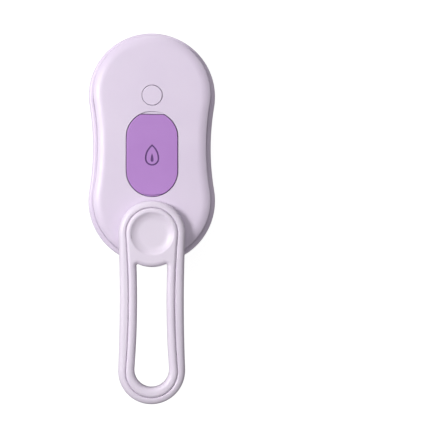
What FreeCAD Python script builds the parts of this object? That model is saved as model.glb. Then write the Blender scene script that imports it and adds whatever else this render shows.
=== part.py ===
import FreeCAD, Part
import math
import os

from FreeCAD import Vector

# Steam brush for pets: a waisted two-shell casing with a water tank, a mist disc and a silicone
# nub pad, under a loop handle that swivels on a round hub.
# Millimetres. +Y points to the head end, +Z out of the button side, z = 0 at the nub tips.

os.makedirs("parts", exist_ok=True)

# overall
overall_length = 188.0
body_centre_y = 34.5
lobe_span = 27.0
lobe_radius = 32.5
waist_half_width = 30.25

# casing levels
rim_bottom = 7.6
floor_bottom = 9.0
floor_top = 11.0
parting_low = 27.0
parting_high = 27.4
body_top = 36.0
wall = 2.0
plate_bottom = body_top - wall
ledge = 2.8
shoulder_round = 1.4
shelf_bottom = parting_low - 2.6
moat_width = 0.5
moat_depth = 0.5
crown_radius = 7.8
crown_width = 4.8
crown_edge_round = 0.6
cavity_round = 2.0
rim_round = 4.0
groove_depth = 0.8
rib_root = 0.5

# silicone pad
pad_face = 7.0
pocket_inset = 2.85
pad_inset = 3.2
pad_round = 1.2
nub_base_radius = 2.4
nub_tip_radius = 1.3
nub_root = 7.2
nub_outer_lift = 0.6
nub_pitch = 8.05
nub_middle_pitch = 9.0
nub_ring_centre = 28.0
nub_outer_ring = 23.1
nub_second_ring = 15.4
nub_third_ring = 7.8
nub_rows = 4
nub_outer_angles = (10, 30, 50, 70)
nub_second_angles = (12.5, 44, 75)
nub_third_angles = (27,)

# mist nozzle, at the body centre
nozzle_radius = 4.25
nozzle_lip_radius = 5.7
nozzle_face = 6.4
nozzle_root = 0.5
nozzle_round = 0.6
cup_radius = 9.4
cup_inner_radius = 8.0
cup_floor = 9.8
cup_top = 13.0
cup_flange_radius = 11.0
cup_flange_top = 12.2
seal_bore_radius = 5.0
disc_radius = 7.5
disc_bottom = 10.6
mesh_thickness = 0.25
piezo_thickness = 0.65
piezo_bore_radius = 5.2
lead_slot_half_width = 2.2
lead_slot_start = 3.0
lead_slot_end = 12.0
lead_slot_drop = 0.1

# water tank
tank_half_width = 22.0
tank_half_length = 19.0
tank_corner = 6.0
tank_wall = 1.5
tank_floor = 14.6
tank_rim = 28.6
tank_seal_height = 0.6
tank_seal_inset = 0.2
tank_lid_top = 31.0
neck_radius = 6.4
neck_wall = 1.0
neck_top = 32.8
neck_clearance = 1.0
filler_gasket_width = 0.9

# filler lid and its recess
recess_radius = 13.25
recess_low_centre = -12.3
recess_high_centre = 4.7
recess_floor = 32.4
recess_wall = 1.3
tray_end = 17.6
lid_gap = 0.35
lid_flat_edge = 16.2
lid_bottom = 34.0
lid_edge_round = 0.4
notch_depth = 0.7
drop_radius = 3.6
drop_rise = 7.2
drop_centre = -6.1
drop_stroke = 0.8
inner_drop_radius = 0.75
inner_drop_rise = 3.6
inner_drop_centre = drop_centre - 0.9
drop_depth = 0.35
plug_flange_radius = 8.6
plug_radius = 5.9
plug_tip_radius = 5.0
plug_bottom = 29.9
strap_width = 8.0
strap_thickness = 0.6
strap_reach = 6.0
strap_crest = 35.7
strap_notch_depth = 0.75
strap_notch_gap = 0.2

# power button and its switch
button_y = 26.0
button_radius = 5.05
button_hole_radius = 5.3
button_flange_radius = 6.8
button_flange_bottom = 32.95
button_edge_round = 0.35
stem_radius = 1.5
stem_bottom = 32.05
stem_clearance = 0.3
membrane_radius = 8.2
membrane_rim_inner = 7.0
membrane_bottom = 32.2
membrane_thickness = 0.4
switch_top = 28.0
switch_half = 3.0
switch_bore_bottom = 25.5
plunger_radius = 1.7
plunger_bottom = 26.2
plunger_top = 32.0
plunger_clearance = 0.3

# circuit board in the head lobe
board_bottom = 22.6
board_top = 24.2
board_radius = 26.5
board_half_width = 18.5
board_start = 22.8
board_screw_x = 14.0
board_screw_y = 45.0
board_screw_radius = 1.0
board_screw_end = 29.0
board_screw_head_radius = 1.8
board_screw_head_height = 1.4
board_post_radius = 2.4
socket_width = 8.9
socket_height = 3.3
socket_length = 8.0
socket_end = 59.0
socket_clearance = 0.15
socket_sheet = 0.3
socket_back = 1.5
tongue_half_width = 3.3
tongue_half_height = 0.35
tongue_setback = 0.9
control_chip_place = (-9.0, 33.0)
control_chip_size = (5.0, 4.0, 1.4)
charger_chip_place = (-9.0, 42.5)
charger_chip_size = (3.0, 3.0, 1.0)
coil_place = (9.0, 34.0)
coil_radius = 3.2
coil_height = 4.0
led_place = (7.5, button_y)
led_size = (2.0, 1.2, 0.8)

# battery in the tail lobe
battery_half_width = 15.0
battery_low = -52.0
battery_high = -25.0
battery_bottom = 12.2
battery_top = 21.2
battery_edge_round = 2.5
battery_pad_side_inset = 2.0
battery_pad_end_inset = 3.0

# leads
battery_lead_radius = 0.55
battery_lead_bend = 1.4
battery_lead_start_x = 8.0
battery_lead_reach = 3.0
battery_lead_side_x = 25.2
battery_lead_turn_y = 20.6
battery_lead_board_x = 13.0
battery_lead_board_y = 24.6
battery_lead_high = 18.6
battery_lead_low = 16.4
battery_lead_spacing = 1.6
piezo_lead_radius = 0.45
piezo_lead_bend = 2.5
piezo_lead_half_spacing = 1.1
piezo_lead_start_y = 6.4
piezo_lead_board_y = 24.5

# case screws
screw_x = 23.0
screw_y = 30.0
screw_post_radius = 3.4
screw_shank_radius = 1.25
screw_head_radius = 2.4
screw_head_bottom = 9.2
screw_head_top = 10.8
screw_end = 32.0
screw_clearance = 0.2
pilot_depth = 0.5
drive_radius = 0.9
drive_depth = 0.8

# loop handle
hub_y = -44.0
handle_lobe_radius = 16.6
handle_waist = 15.9
groove_lobe_radius = 12.9
groove_waist = 11.5
gap_lobe_radius = 8.6
gap_waist = 7.3
handle_bottom = 36.4
handle_split = 39.6
handle_crest = 43.4
handle_top = 44.0
handle_end = -overall_length / 2 - body_centre_y
end_bar = 8.3
end_groove = 3.4
groove_width = 0.05
frame_round = 2.6
frame_under_round = 2.2
frame_groove_round = 0.75
inlay_round = 1.5
gap_round = 2.3
gap_under_round = 1.6
gap_corner_round = 0.7
dish_radius = 10.7
dish_flat_radius = 6.3
dish_depth = 1.6
dish_rim_round = 0.9

# swivel
pivot_radius = 6.0
pivot_clearance = 0.06
bush_radius = 7.55
bush_flange_radius = 9.0
pivot_seat_radius = 9.6
pivot_boss_radius = 10.0
pivot_boss_bottom = 31.0
stem_end = 30.6
washer_radius = 9.0
washer_bottom = 29.4
washer_clearance = 0.1
pivot_screw_radius = 1.5
pivot_screw_end = 38.0
pivot_pilot_end = 38.4
pivot_head_radius = 3.0
pivot_head_bottom = 27.2
pivot_drive_radius = 1.2

fit_gap = 0.05
touching = 1e-4
cut_margin = 1.0
overcut = 5.0


def cylinder(x, y, z_low, z_high, radius):
    return Part.makeCylinder(radius, z_high - z_low, Vector(x, y, z_low))


def ring(x, y, z_low, z_high, outer, inner):
    bore = cylinder(x, y, z_low - overcut, z_high + overcut, inner)
    return cylinder(x, y, z_low, z_high, outer).cut(bore)


def block(x_low, x_high, y_low, y_high, z_low, z_high):
    size = (x_high - x_low, y_high - y_low, z_high - z_low)
    return Part.makeBox(size[0], size[1], size[2], Vector(x_low, y_low, z_low))


def centred_block(half_x, y_low, y_high, z_low, z_high):
    return block(-half_x, half_x, y_low, y_high, z_low, z_high)


def joined(shapes):
    return shapes[0].multiFuse(shapes[1:]).removeSplitter()


def flat_edges(shape, z):
    # edges that lie in the level plane at z
    def is_level(edge):
        box = edge.BoundBox
        return abs(box.ZMin - z) < touching and abs(box.ZMax - z) < touching
    return [edge for edge in shape.Edges if is_level(edge)]


def round_level(shape, z, radius):
    return shape.makeFillet(radius, flat_edges(shape, z))


def wire_prism(edges, z_low, z_high):
    face = Part.Face(Part.Wire(edges))
    face.translate(Vector(0, 0, z_low))
    return face.extrude(Vector(0, 0, z_high - z_low))


def arc(start, middle, end):
    points = [Vector(x, y, 0) for x, y in (start, middle, end)]
    return Part.Arc(points[0], points[1], points[2]).toShape()


def lobed_prism(outline, inset, z_low, z_high):
    # two round lobes on the Y axis joined by hollow waist arcs that meet them tangentially
    y_high, y_low, lobe, waist = outline
    half_span = (y_high - y_low) / 2
    middle = (y_high + y_low) / 2
    waist_arc = (waist ** 2 + half_span ** 2 - lobe ** 2) / (2 * (lobe - waist))
    radius = lobe - inset
    across = radius * (waist + waist_arc) / (lobe + waist_arc)
    along = radius * half_span / (lobe + waist_arc)
    right_high = (across, y_high - along)
    right_low = (across, y_low + along)
    left_high = (-across, y_high - along)
    left_low = (-across, y_low + along)
    edges = [
        arc(left_high, (0, y_high + radius), right_high),
        arc(right_high, (waist - inset, middle), right_low),
        arc(right_low, (0, y_low - radius), left_low),
        arc(left_low, (inset - waist, middle), left_high),
    ]
    return wire_prism(edges, z_low, z_high)


def slot_prism(radius, y_low, y_high, z_low, z_high):
    # straight-sided slot with half-round ends
    edges = [
        arc((-radius, y_high), (0, y_high + radius), (radius, y_high)),
        Part.makeLine(Vector(radius, y_high, 0), Vector(radius, y_low, 0)),
        arc((radius, y_low), (0, y_low - radius), (-radius, y_low)),
        Part.makeLine(Vector(-radius, y_low, 0), Vector(-radius, y_high, 0)),
    ]
    return wire_prism(edges, z_low, z_high)


def rounded_box(half_x, half_y, corner, z_low, z_high):
    shape = block(-half_x, half_x, -half_y, half_y, z_low, z_high)
    upright = [edge for edge in shape.Edges if edge.BoundBox.ZLength > z_high - z_low - touching]
    return shape.makeFillet(corner, upright)


body_outline = (lobe_span, -lobe_span, lobe_radius, waist_half_width)
handle_outline = (hub_y, handle_end + handle_lobe_radius, handle_lobe_radius, handle_waist)
groove_outline = (
    hub_y,
    handle_end + end_groove + groove_lobe_radius,
    groove_lobe_radius,
    groove_waist,
)
gap_outline = (hub_y, handle_end + end_bar + gap_lobe_radius, gap_lobe_radius, gap_waist)


def save(node, shape):
    # every piece is drawn about the body centre and stored about the middle of the whole object
    moved = shape.copy()
    moved.translate(Vector(0, body_centre_y, 0))
    if not moved.isValid():
        raise ValueError(node + " is not a valid solid")
    moved.exportStep("parts/" + node + ".step")


def screw_places():
    return [(x, y) for x in (-screw_x, screw_x) for y in (-screw_y, screw_y)]


def board_screw_places():
    return [(-board_screw_x, board_screw_y), (board_screw_x, board_screw_y)]


# ---- casing


def lid_recess():
    # deep part under the lid, and the shallow nail notch beyond the lid's flat edge
    edge = lid_flat_edge + lid_gap
    slot = slot_prism(
        recess_radius, recess_low_centre, recess_high_centre, recess_floor, body_top + overcut
    )
    under_lid = centred_block(
        recess_radius, -body_top, edge, recess_floor, body_top + overcut
    )
    deep = slot.common(under_lid)
    beyond_lid = centred_block(
        recess_radius, edge, lobe_radius, body_top - notch_depth, body_top + overcut
    )
    return deep.fuse(beyond_lid.common(slot))


def socket_shaft(growth, y_low, y_high):
    # flat oval bar along Y at the charging socket, grown all round by the given amount
    end = socket_height / 2 + growth
    reach = socket_width / 2 + growth - end
    bar = slot_prism(end, -reach, reach, 0, y_high - y_low)
    bar.rotate(Vector(0, 0, 0), Vector(0, 0, 1), 90)
    bar.rotate(Vector(0, 0, 0), Vector(1, 0, 0), -90)
    bar.translate(Vector(0, y_low, board_bottom - socket_height / 2))
    return bar


def upper_casing():
    # the top falls away in an arc that meets the upright wall at a soft edge
    crown = lobed_prism(body_outline, ledge + crown_width - crown_radius, parting_high, body_top)
    crown = round_level(crown, body_top, crown_radius)
    shell = crown.common(lobed_prism(body_outline, ledge, parting_high, body_top))
    crown_drop = crown_radius - math.sqrt(crown_radius ** 2 - crown_width ** 2)
    shell = round_level(shell, body_top - crown_drop, crown_edge_round)
    cavity = lobed_prism(body_outline, ledge + wall, parting_high - overcut, plate_bottom)
    cavity = round_level(cavity, plate_bottom, cavity_round)
    shell = shell.cut(cavity)
    tray = slot_prism(
        recess_radius + recess_wall, recess_low_centre, recess_high_centre,
        tank_lid_top, plate_bottom + fit_gap,
    )
    tray = tray.common(centred_block(lobe_radius, -lobe_radius, tray_end, 0, body_top))
    posts = [cylinder(x, y, parting_high, plate_bottom + rib_root, screw_post_radius)
             for x, y in screw_places()]
    board_posts = [cylinder(x, y, board_top, plate_bottom + rib_root, board_post_radius)
                   for x, y in board_screw_places()]
    boss = cylinder(0, hub_y, pivot_boss_bottom, plate_bottom + fit_gap, pivot_boss_radius)
    seat = cylinder(0, hub_y, plate_bottom, body_top, pivot_seat_radius)
    shell = joined([shell, tray, boss, seat] + posts + board_posts)
    shell = shell.cut(lid_recess())
    neck_hole = neck_radius + neck_wall + neck_clearance
    shell = shell.cut(cylinder(0, 0, tank_lid_top - overcut, body_top, neck_hole))
    for y, radius in ((button_y, button_hole_radius), (hub_y, bush_radius + fit_gap)):
        hole = cylinder(0, y, plate_bottom - overcut, body_top + cut_margin, radius)
        shell = shell.cut(hole)
    for x, y in screw_places():
        pilot = cylinder(x, y, parting_low, screw_end + pilot_depth, screw_shank_radius)
        shell = shell.cut(pilot)
    for x, y in board_screw_places():
        pilot_top = board_screw_end + pilot_depth
        pilot = cylinder(x, y, board_top - cut_margin, pilot_top, board_screw_radius)
        shell = shell.cut(pilot)
    return shell


def lower_casing():
    # the wall turns in at the top as a shelf that carries the narrower upper casing
    shell = lobed_prism(body_outline, 0, rim_bottom, parting_low)
    shell = round_level(shell, rim_bottom, rim_round)
    shell = round_level(shell, parting_low, shoulder_round)
    shell = shell.cut(lobed_prism(body_outline, wall, floor_top, shelf_bottom))
    above = parting_low + cut_margin
    shell = shell.cut(lobed_prism(body_outline, ledge + wall, shelf_bottom - cut_margin, above))
    moat = lobed_prism(body_outline, ledge - moat_width, parting_low - moat_depth, above)
    shell = shell.cut(moat.cut(lobed_prism(body_outline, ledge, 0, above + cut_margin)))
    posts = [cylinder(x, y, floor_top - rib_root, parting_low, screw_post_radius)
             for x, y in screw_places()]
    shell = joined([shell] + posts)
    shell = shell.cut(lobed_prism(body_outline, pocket_inset, 0, floor_bottom))
    shell = shell.cut(cylinder(0, 0, 0, floor_top + cut_margin, cup_radius + 2 * fit_gap))
    shell = shell.cut(socket_shaft(socket_clearance, socket_end - overcut, socket_end + overcut))
    for x, y in screw_places():
        bore = cylinder(x, y, 0, above, screw_shank_radius + screw_clearance)
        head_bore = cylinder(x, y, 0, screw_head_top, screw_head_radius + screw_clearance)
        shell = shell.cut(bore).cut(head_bore)
    return shell


def case_gasket():
    outer = lobed_prism(body_outline, ledge + groove_depth, parting_low, parting_high)
    inner = lobed_prism(
        body_outline, ledge + wall, parting_low - cut_margin, parting_high + cut_margin
    )
    return outer.cut(inner)


def case_screw(x, y):
    head = cylinder(x, y, screw_head_bottom, screw_head_top, screw_head_radius)
    shank = cylinder(x, y, screw_head_top, screw_end, screw_shank_radius)
    drive_top = screw_head_bottom + drive_depth
    drive = cylinder(x, y, screw_head_bottom - cut_margin, drive_top, drive_radius)
    return head.fuse(shank).cut(drive)


# ---- silicone pad


def mirrored_places(places):
    # reflects the places of one quarter into the other three, without repeating those on an axis
    found = []
    for x, y in places:
        for place in ((x, y), (-x, y), (x, -y), (-x, -y)):
            near = [p for p in found if math.dist(p, place) < nub_tip_radius]
            if not near:
                found.append(place)
    return found


def arc_places(radius, angles):
    places = []
    for angle in angles:
        turn = math.radians(angle)
        y = nub_ring_centre + radius * math.cos(turn)
        places.append((radius * math.sin(turn), y))
    return places


def outer_nub_places():
    straight = [(nub_outer_ring, nub_pitch * (row + 0.5)) for row in range(nub_rows)]
    return mirrored_places(straight + arc_places(nub_outer_ring, nub_outer_angles))


def inner_nub_places():
    second = [(nub_second_ring, nub_pitch * row) for row in range(nub_rows)]
    third = [(nub_third_ring, nub_pitch * (row + 0.5)) for row in range(nub_rows)]
    middle = [(0, nub_middle_pitch * row) for row in range(1, nub_rows)]
    arcs = arc_places(nub_second_ring, nub_second_angles)
    arcs += arc_places(nub_third_ring, nub_third_angles)
    return mirrored_places(second + third + middle + arcs)


def nub(x, y, tip):
    shoulder = tip + nub_tip_radius
    cone = Part.makeCone(
        nub_tip_radius, nub_base_radius, nub_root + fit_gap - shoulder, Vector(x, y, shoulder)
    )
    return cone.fuse(Part.makeSphere(nub_tip_radius, Vector(x, y, shoulder)))


def brush_pad():
    sheet = lobed_prism(body_outline, pad_inset, pad_face, floor_bottom)
    sheet = round_level(sheet, pad_face, pad_round)
    nubs = [nub(x, y, 0.0) for x, y in inner_nub_places()]
    nubs += [nub(x, y, nub_outer_lift) for x, y in outer_nub_places()]
    pad = sheet.multiFuse(nubs)
    return pad.cut(cylinder(0, 0, 0, body_top, nozzle_lip_radius + fit_gap))


# ---- mist nozzle and water tank


def nozzle_ring():
    neck = cylinder(0, 0, nozzle_face, floor_bottom + nozzle_root, nozzle_lip_radius)
    neck = round_level(neck, nozzle_face, nozzle_round)
    cup = cylinder(0, 0, floor_bottom, cup_top, cup_radius)
    flange = cylinder(0, 0, floor_top, cup_flange_top, cup_flange_radius)
    body = joined([neck, cup, flange])
    body = body.cut(cylinder(0, 0, 0, body_top, nozzle_radius))
    body = body.cut(cylinder(0, 0, cup_floor, body_top, cup_inner_radius))
    return body.cut(lead_slot())


def lead_slot():
    slot_bottom = disc_bottom + mesh_thickness + piezo_thickness - lead_slot_drop
    return centred_block(
        lead_slot_half_width, lead_slot_start, lead_slot_end, slot_bottom, cup_top + cut_margin
    )


def disc_seal():
    seal = ring(0, 0, cup_floor, cup_top, cup_inner_radius - fit_gap, seal_bore_radius)
    groove_top = disc_bottom + mesh_thickness + piezo_thickness
    groove = cylinder(0, 0, disc_bottom, groove_top, disc_radius + fit_gap)
    return seal.cut(groove).cut(lead_slot())


def mist_mesh():
    return cylinder(0, 0, disc_bottom, disc_bottom + mesh_thickness, disc_radius)


def mist_piezo_ring():
    low = disc_bottom + mesh_thickness
    return ring(0, 0, low, low + piezo_thickness, disc_radius, piezo_bore_radius)


def tank_shell():
    outer = rounded_box(tank_half_width, tank_half_length, tank_corner, cup_top, tank_rim)
    inner = rounded_box(
        tank_half_width - tank_wall, tank_half_length - tank_wall, tank_corner - tank_wall,
        tank_floor, tank_rim + cut_margin,
    )
    return outer.cut(inner).cut(cylinder(0, 0, 0, body_top, seal_bore_radius))


def tank_seal():
    top = tank_rim + tank_seal_height
    outer = rounded_box(
        tank_half_width - tank_seal_inset, tank_half_length - tank_seal_inset,
        tank_corner, tank_rim, top,
    )
    inner = rounded_box(
        tank_half_width - tank_wall, tank_half_length - tank_wall, tank_corner - tank_wall,
        tank_rim - cut_margin, top + cut_margin,
    )
    return outer.cut(inner)


def tank_lid():
    low = tank_rim + tank_seal_height
    plate = rounded_box(tank_half_width, tank_half_length, tank_corner, low, tank_lid_top)
    neck = cylinder(0, 0, low, neck_top, neck_radius + neck_wall)
    return plate.fuse(neck).removeSplitter().cut(cylinder(0, 0, 0, body_top, neck_radius))


def filler_gasket():
    inner = neck_radius + neck_wall + fit_gap
    return ring(0, 0, tank_lid_top, recess_floor, inner + filler_gasket_width, inner)


# ---- filler lid


def drop_prism(size, inset, z_low, z_high):
    # water drop: a half circle below, two arcs meeting in a point above
    radius, rise, centre = size
    side = (radius ** 2 + rise ** 2) / (2 * radius)
    side_centre = radius - side
    radius -= inset
    side -= inset
    rise = math.sqrt(side ** 2 - side_centre ** 2)
    half_turn = math.asin(rise / side) / 2
    bulge = side_centre + side * math.cos(half_turn)
    bulge_y = centre + side * math.sin(half_turn)
    tip = (0, centre + rise)
    edges = [
        arc((-radius, centre), (0, centre - radius), (radius, centre)),
        arc((radius, centre), (bulge, bulge_y), tip),
        arc(tip, (-bulge, bulge_y), (-radius, centre)),
    ]
    return wire_prism(edges, z_low, z_high)


def hinge_end_ring(thickness, half_x, z_low, z_high):
    # curved band that follows the lid's round end, on the lid's side of its outline
    radius = recess_radius - lid_gap
    outer = slot_prism(radius, recess_low_centre, recess_high_centre, z_low, z_high)
    inner = slot_prism(
        radius - thickness, recess_low_centre, recess_high_centre,
        z_low - cut_margin, z_high + cut_margin,
    )
    hinge_half = centred_block(half_x, -body_top, recess_low_centre, z_low, z_high)
    return outer.cut(inner).common(hinge_half)


def water_cap():
    lid = slot_prism(
        recess_radius - lid_gap, recess_low_centre, recess_high_centre, lid_bottom, body_top
    )
    above = body_top + cut_margin
    lid = lid.common(centred_block(recess_radius, -body_top, lid_flat_edge, 0, above))
    lid = round_level(lid, body_top, lid_edge_round)
    notch_half = strap_width / 2 + strap_notch_gap
    lid = lid.cut(hinge_end_ring(strap_notch_depth, notch_half, lid_bottom - cut_margin, above))
    engraving_floor = body_top - drop_depth
    drop = (drop_radius, drop_rise, drop_centre)
    outline = drop_prism(drop, 0, engraving_floor, above)
    inside = drop_prism(drop, drop_stroke, engraving_floor - cut_margin, above + cut_margin)
    outline = outline.cut(inside)
    inner_drop = (inner_drop_radius, inner_drop_rise, inner_drop_centre)
    return lid.cut(outline).cut(drop_prism(inner_drop, 0, engraving_floor, above))


def cap_plug():
    rest = neck_top + fit_gap
    flange = cylinder(0, 0, rest, lid_bottom, plug_flange_radius)
    stopper = Part.makeCone(
        plug_tip_radius, plug_radius, rest - plug_bottom + fit_gap, Vector(0, 0, plug_bottom)
    )
    return flange.fuse(stopper)


def cap_strap():
    # folded tongue from the recess floor to the underside of the lid, whose fold shows in the
    # notch at the lid's hinge end
    end = recess_low_centre - recess_radius + lid_gap
    half = strap_width / 2
    lower_top = recess_floor + strap_thickness
    lower = centred_block(half, end, end + strap_reach, recess_floor, lower_top)
    upper = centred_block(half, end, end + strap_reach, lid_bottom - strap_thickness, lid_bottom)
    outline = slot_prism(
        recess_radius - lid_gap, recess_low_centre, recess_high_centre, recess_floor, body_top
    )
    fold = hinge_end_ring(strap_thickness, half, recess_floor, strap_crest)
    return joined([lower.common(outline), upper.common(outline), fold])


# ---- power button, switch and circuit board


def power_button():
    face = cylinder(0, button_y, plate_bottom - fit_gap, body_top, button_radius)
    face = round_level(face, body_top, button_edge_round)
    flange = cylinder(
        0, button_y, button_flange_bottom, plate_bottom - fit_gap, button_flange_radius
    )
    stem = cylinder(0, button_y, stem_bottom, button_flange_bottom, stem_radius)
    return joined([face, flange, stem])


def button_membrane():
    web_top = membrane_bottom + membrane_thickness
    stem_hole = stem_radius + stem_clearance
    web = ring(0, button_y, membrane_bottom, web_top, membrane_radius, stem_hole)
    rim = ring(0, button_y, membrane_bottom, plate_bottom, membrane_radius, membrane_rim_inner)
    return joined([web, rim])


def switch_body():
    body = centred_block(
        switch_half, button_y - switch_half, button_y + switch_half, board_top, switch_top
    )
    bore_radius = plunger_radius + plunger_clearance
    return body.cut(cylinder(0, button_y, switch_bore_bottom, body_top, bore_radius))


def switch_plunger():
    return cylinder(0, button_y, plunger_bottom, plunger_top, plunger_radius)


def circuit_board():
    board = cylinder(0, lobe_span, board_bottom, board_top, board_radius)
    board = board.common(centred_block(board_half_width, board_start, socket_end, 0, body_top))
    for x, y in board_screw_places():
        board = board.cut(cylinder(x, y, 0, body_top, board_screw_radius + screw_clearance))
    return board


def board_screw(x, y):
    head_low = board_bottom - board_screw_head_height
    head = cylinder(x, y, head_low, board_bottom, board_screw_head_radius)
    return head.fuse(cylinder(x, y, board_bottom, board_screw_end, board_screw_radius))


def usb_socket():
    centre_z = board_bottom - socket_height / 2
    back = socket_end - socket_length + socket_back
    shell = socket_shaft(0, socket_end - socket_length, socket_end)
    mouth = socket_shaft(-socket_sheet, back, socket_end + cut_margin)
    tongue = centred_block(
        tongue_half_width, back - 2 * fit_gap, socket_end - tongue_setback,
        centre_z - tongue_half_height, centre_z + tongue_half_height,
    )
    return shell.cut(mouth).fuse(tongue)


def chip(place, size, z_low):
    x, y = place
    wide, deep, tall = size
    return block(x - wide / 2, x + wide / 2, y - deep / 2, y + deep / 2, z_low, z_low + tall)


def control_chip():
    return chip(control_chip_place, control_chip_size, board_bottom - control_chip_size[2])


def charger_chip():
    return chip(charger_chip_place, charger_chip_size, board_bottom - charger_chip_size[2])


def drive_coil():
    x, y = coil_place
    return cylinder(x, y, board_bottom - coil_height, board_bottom, coil_radius)


def status_led():
    return chip(led_place, led_size, board_top)


# ---- battery and leads


def battery_cell():
    cell = centred_block(
        battery_half_width, battery_low, battery_high, battery_bottom, battery_top
    )
    long_edges = [edge for edge in cell.Edges if edge.BoundBox.YLength > battery_edge_round]
    return cell.makeFillet(battery_edge_round, long_edges)


def battery_pad():
    return centred_block(
        battery_half_width - battery_pad_side_inset, battery_low + battery_pad_end_inset,
        battery_high - battery_pad_end_inset, floor_top, battery_bottom,
    )


def wire_run(points, bend_radius, radius):
    # straight runs joined by tangent arcs
    places = [Vector(x, y, z) for x, y, z in points]
    edges = []
    start = places[0]
    for before, corner, after in zip(places, places[1:], places[2:]):
        back = (before - corner).normalize()
        ahead = (after - corner).normalize()
        half_angle = back.getAngle(ahead) / 2
        reach = bend_radius / math.tan(half_angle)
        inward = (back + ahead).normalize()
        centre = corner + inward * (bend_radius / math.sin(half_angle))
        bend_start = corner + back * reach
        bend_end = corner + ahead * reach
        edges.append(Part.makeLine(start, bend_start))
        edges.append(Part.Arc(bend_start, centre - inward * bend_radius, bend_end).toShape())
        start = bend_end
    edges.append(Part.makeLine(start, places[-1]))
    section = Part.Wire(Part.makeCircle(radius, places[0], places[1] - places[0]))
    return Part.Wire(edges).makePipeShell([section], True, False)


def battery_lead(level, offset):
    start_x = battery_lead_start_x + offset
    turn_y = battery_high + battery_lead_reach + offset
    board_x = battery_lead_board_x + offset
    route = [
        (start_x, battery_high, level),
        (start_x, turn_y, level),
        (battery_lead_side_x, turn_y, level),
        (battery_lead_side_x, battery_lead_turn_y + offset, level),
        (board_x, battery_lead_board_y, level),
        (board_x, battery_lead_board_y, board_bottom),
    ]
    return wire_run(route, battery_lead_bend, battery_lead_radius)


def piezo_lead(x):
    level = disc_bottom + mesh_thickness + piezo_thickness + piezo_lead_radius
    route = [
        (x, piezo_lead_start_y, level),
        (x, piezo_lead_board_y, level),
        (x, piezo_lead_board_y, board_bottom),
    ]
    return wire_run(route, piezo_lead_bend, piezo_lead_radius)


# ---- loop handle


def finger_gap(z_low, z_high):
    gap = lobed_prism(gap_outline, 0, z_low, z_high)
    hub = cylinder(0, hub_y, z_low - cut_margin, z_high + cut_margin, handle_lobe_radius)
    gap = gap.cut(hub)
    upright = [edge for edge in gap.Edges if edge.BoundBox.ZLength > z_high - z_low - touching
               and edge.BoundBox.YMin > hub_y - handle_lobe_radius - 1]
    return gap.makeFillet(gap_corner_round, upright)


def gap_edges(shape, z):
    # the level edges that run round the finger gap
    limit = gap_lobe_radius + gap_corner_round
    low = handle_end + end_bar - gap_corner_round
    high = hub_y - dish_radius

    def is_gap(edge):
        box = edge.BoundBox
        return box.XMax < limit and box.XMin > -limit and box.YMin > low and box.YMax < high
    return [edge for edge in flat_edges(shape, z) if is_gap(edge)]


def groove_edges(shape):
    # the edges at the frame's crest that face the inlay
    limit = groove_lobe_radius + fit_gap
    return [edge for edge in flat_edges(shape, handle_crest)
            if edge.BoundBox.XMax < limit and edge.BoundBox.XMin > -limit]


def handle_frame():
    loop = lobed_prism(handle_outline, 0, handle_bottom, handle_crest)
    loop = round_level(loop, handle_crest, frame_round)
    loop = round_level(loop, handle_bottom, frame_under_round)
    loop = loop.cut(lobed_prism(groove_outline, 0, handle_split, handle_top))
    loop = loop.makeFillet(frame_groove_round, groove_edges(loop))
    loop = loop.cut(finger_gap(handle_bottom - cut_margin, handle_split + cut_margin))
    loop = loop.makeFillet(gap_under_round, gap_edges(loop, handle_bottom))
    stem = cylinder(0, hub_y, stem_end, handle_bottom + cut_margin, pivot_radius)
    loop = loop.fuse(stem).removeSplitter()
    return loop.cut(cylinder(0, hub_y, stem_end - cut_margin, pivot_pilot_end, pivot_screw_radius))


def thumb_dish():
    # flat in the middle, with a side that rises in an arc to the rim
    reach = dish_radius - dish_flat_radius
    side = (reach ** 2 + dish_depth ** 2) / (2 * dish_depth)
    lean = math.asin(reach / side) / 2
    floor_z = handle_top - dish_depth
    floor_end = Vector(dish_flat_radius, 0, floor_z)
    middle = Vector(
        dish_flat_radius + side * math.sin(lean), 0, floor_z + side * (1 - math.cos(lean))
    )
    rim = Vector(dish_radius, 0, handle_top)
    above = Vector(dish_radius, 0, handle_top + cut_margin)
    axis_low = Vector(0, 0, floor_z)
    axis_high = Vector(0, 0, handle_top + cut_margin)
    edges = [
        Part.makeLine(axis_low, floor_end),
        Part.Arc(floor_end, middle, rim).toShape(),
        Part.makeLine(rim, above),
        Part.makeLine(above, axis_high),
        Part.makeLine(axis_high, axis_low),
    ]
    dish = Part.Face(Part.Wire(edges)).revolve(Vector(0, 0, 0), Vector(0, 0, 1), 360)
    dish.translate(Vector(0, hub_y, 0))
    return dish


def handle_inlay():
    inlay = lobed_prism(groove_outline, groove_width, handle_split, handle_top)
    inlay = round_level(inlay, handle_top, inlay_round)
    inlay = inlay.cut(finger_gap(handle_split - cut_margin, handle_top + cut_margin))
    inlay = inlay.makeFillet(gap_round, gap_edges(inlay, handle_top))
    inlay = inlay.cut(thumb_dish())
    rim = [edge for edge in flat_edges(inlay, handle_top)
           if abs(edge.BoundBox.XLength - 2 * dish_radius) < fit_gap]
    return inlay.makeFillet(dish_rim_round, rim)


def pivot_bush():
    inner = pivot_radius + pivot_clearance
    tube = ring(0, hub_y, pivot_boss_bottom, body_top, bush_radius, inner)
    flange = ring(0, hub_y, body_top, handle_bottom - fit_gap, bush_flange_radius, inner)
    return joined([tube, flange])


def pivot_washer():
    return ring(0, hub_y, washer_bottom, stem_end, washer_radius, pivot_screw_radius + washer_clearance)


def pivot_screw():
    head = cylinder(0, hub_y, pivot_head_bottom, washer_bottom, pivot_head_radius)
    shank = cylinder(0, hub_y, washer_bottom, pivot_screw_end, pivot_screw_radius)
    drive = cylinder(
        0, hub_y, pivot_head_bottom - cut_margin, pivot_head_bottom + drive_depth, pivot_drive_radius
    )
    return head.fuse(shank).cut(drive)


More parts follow.
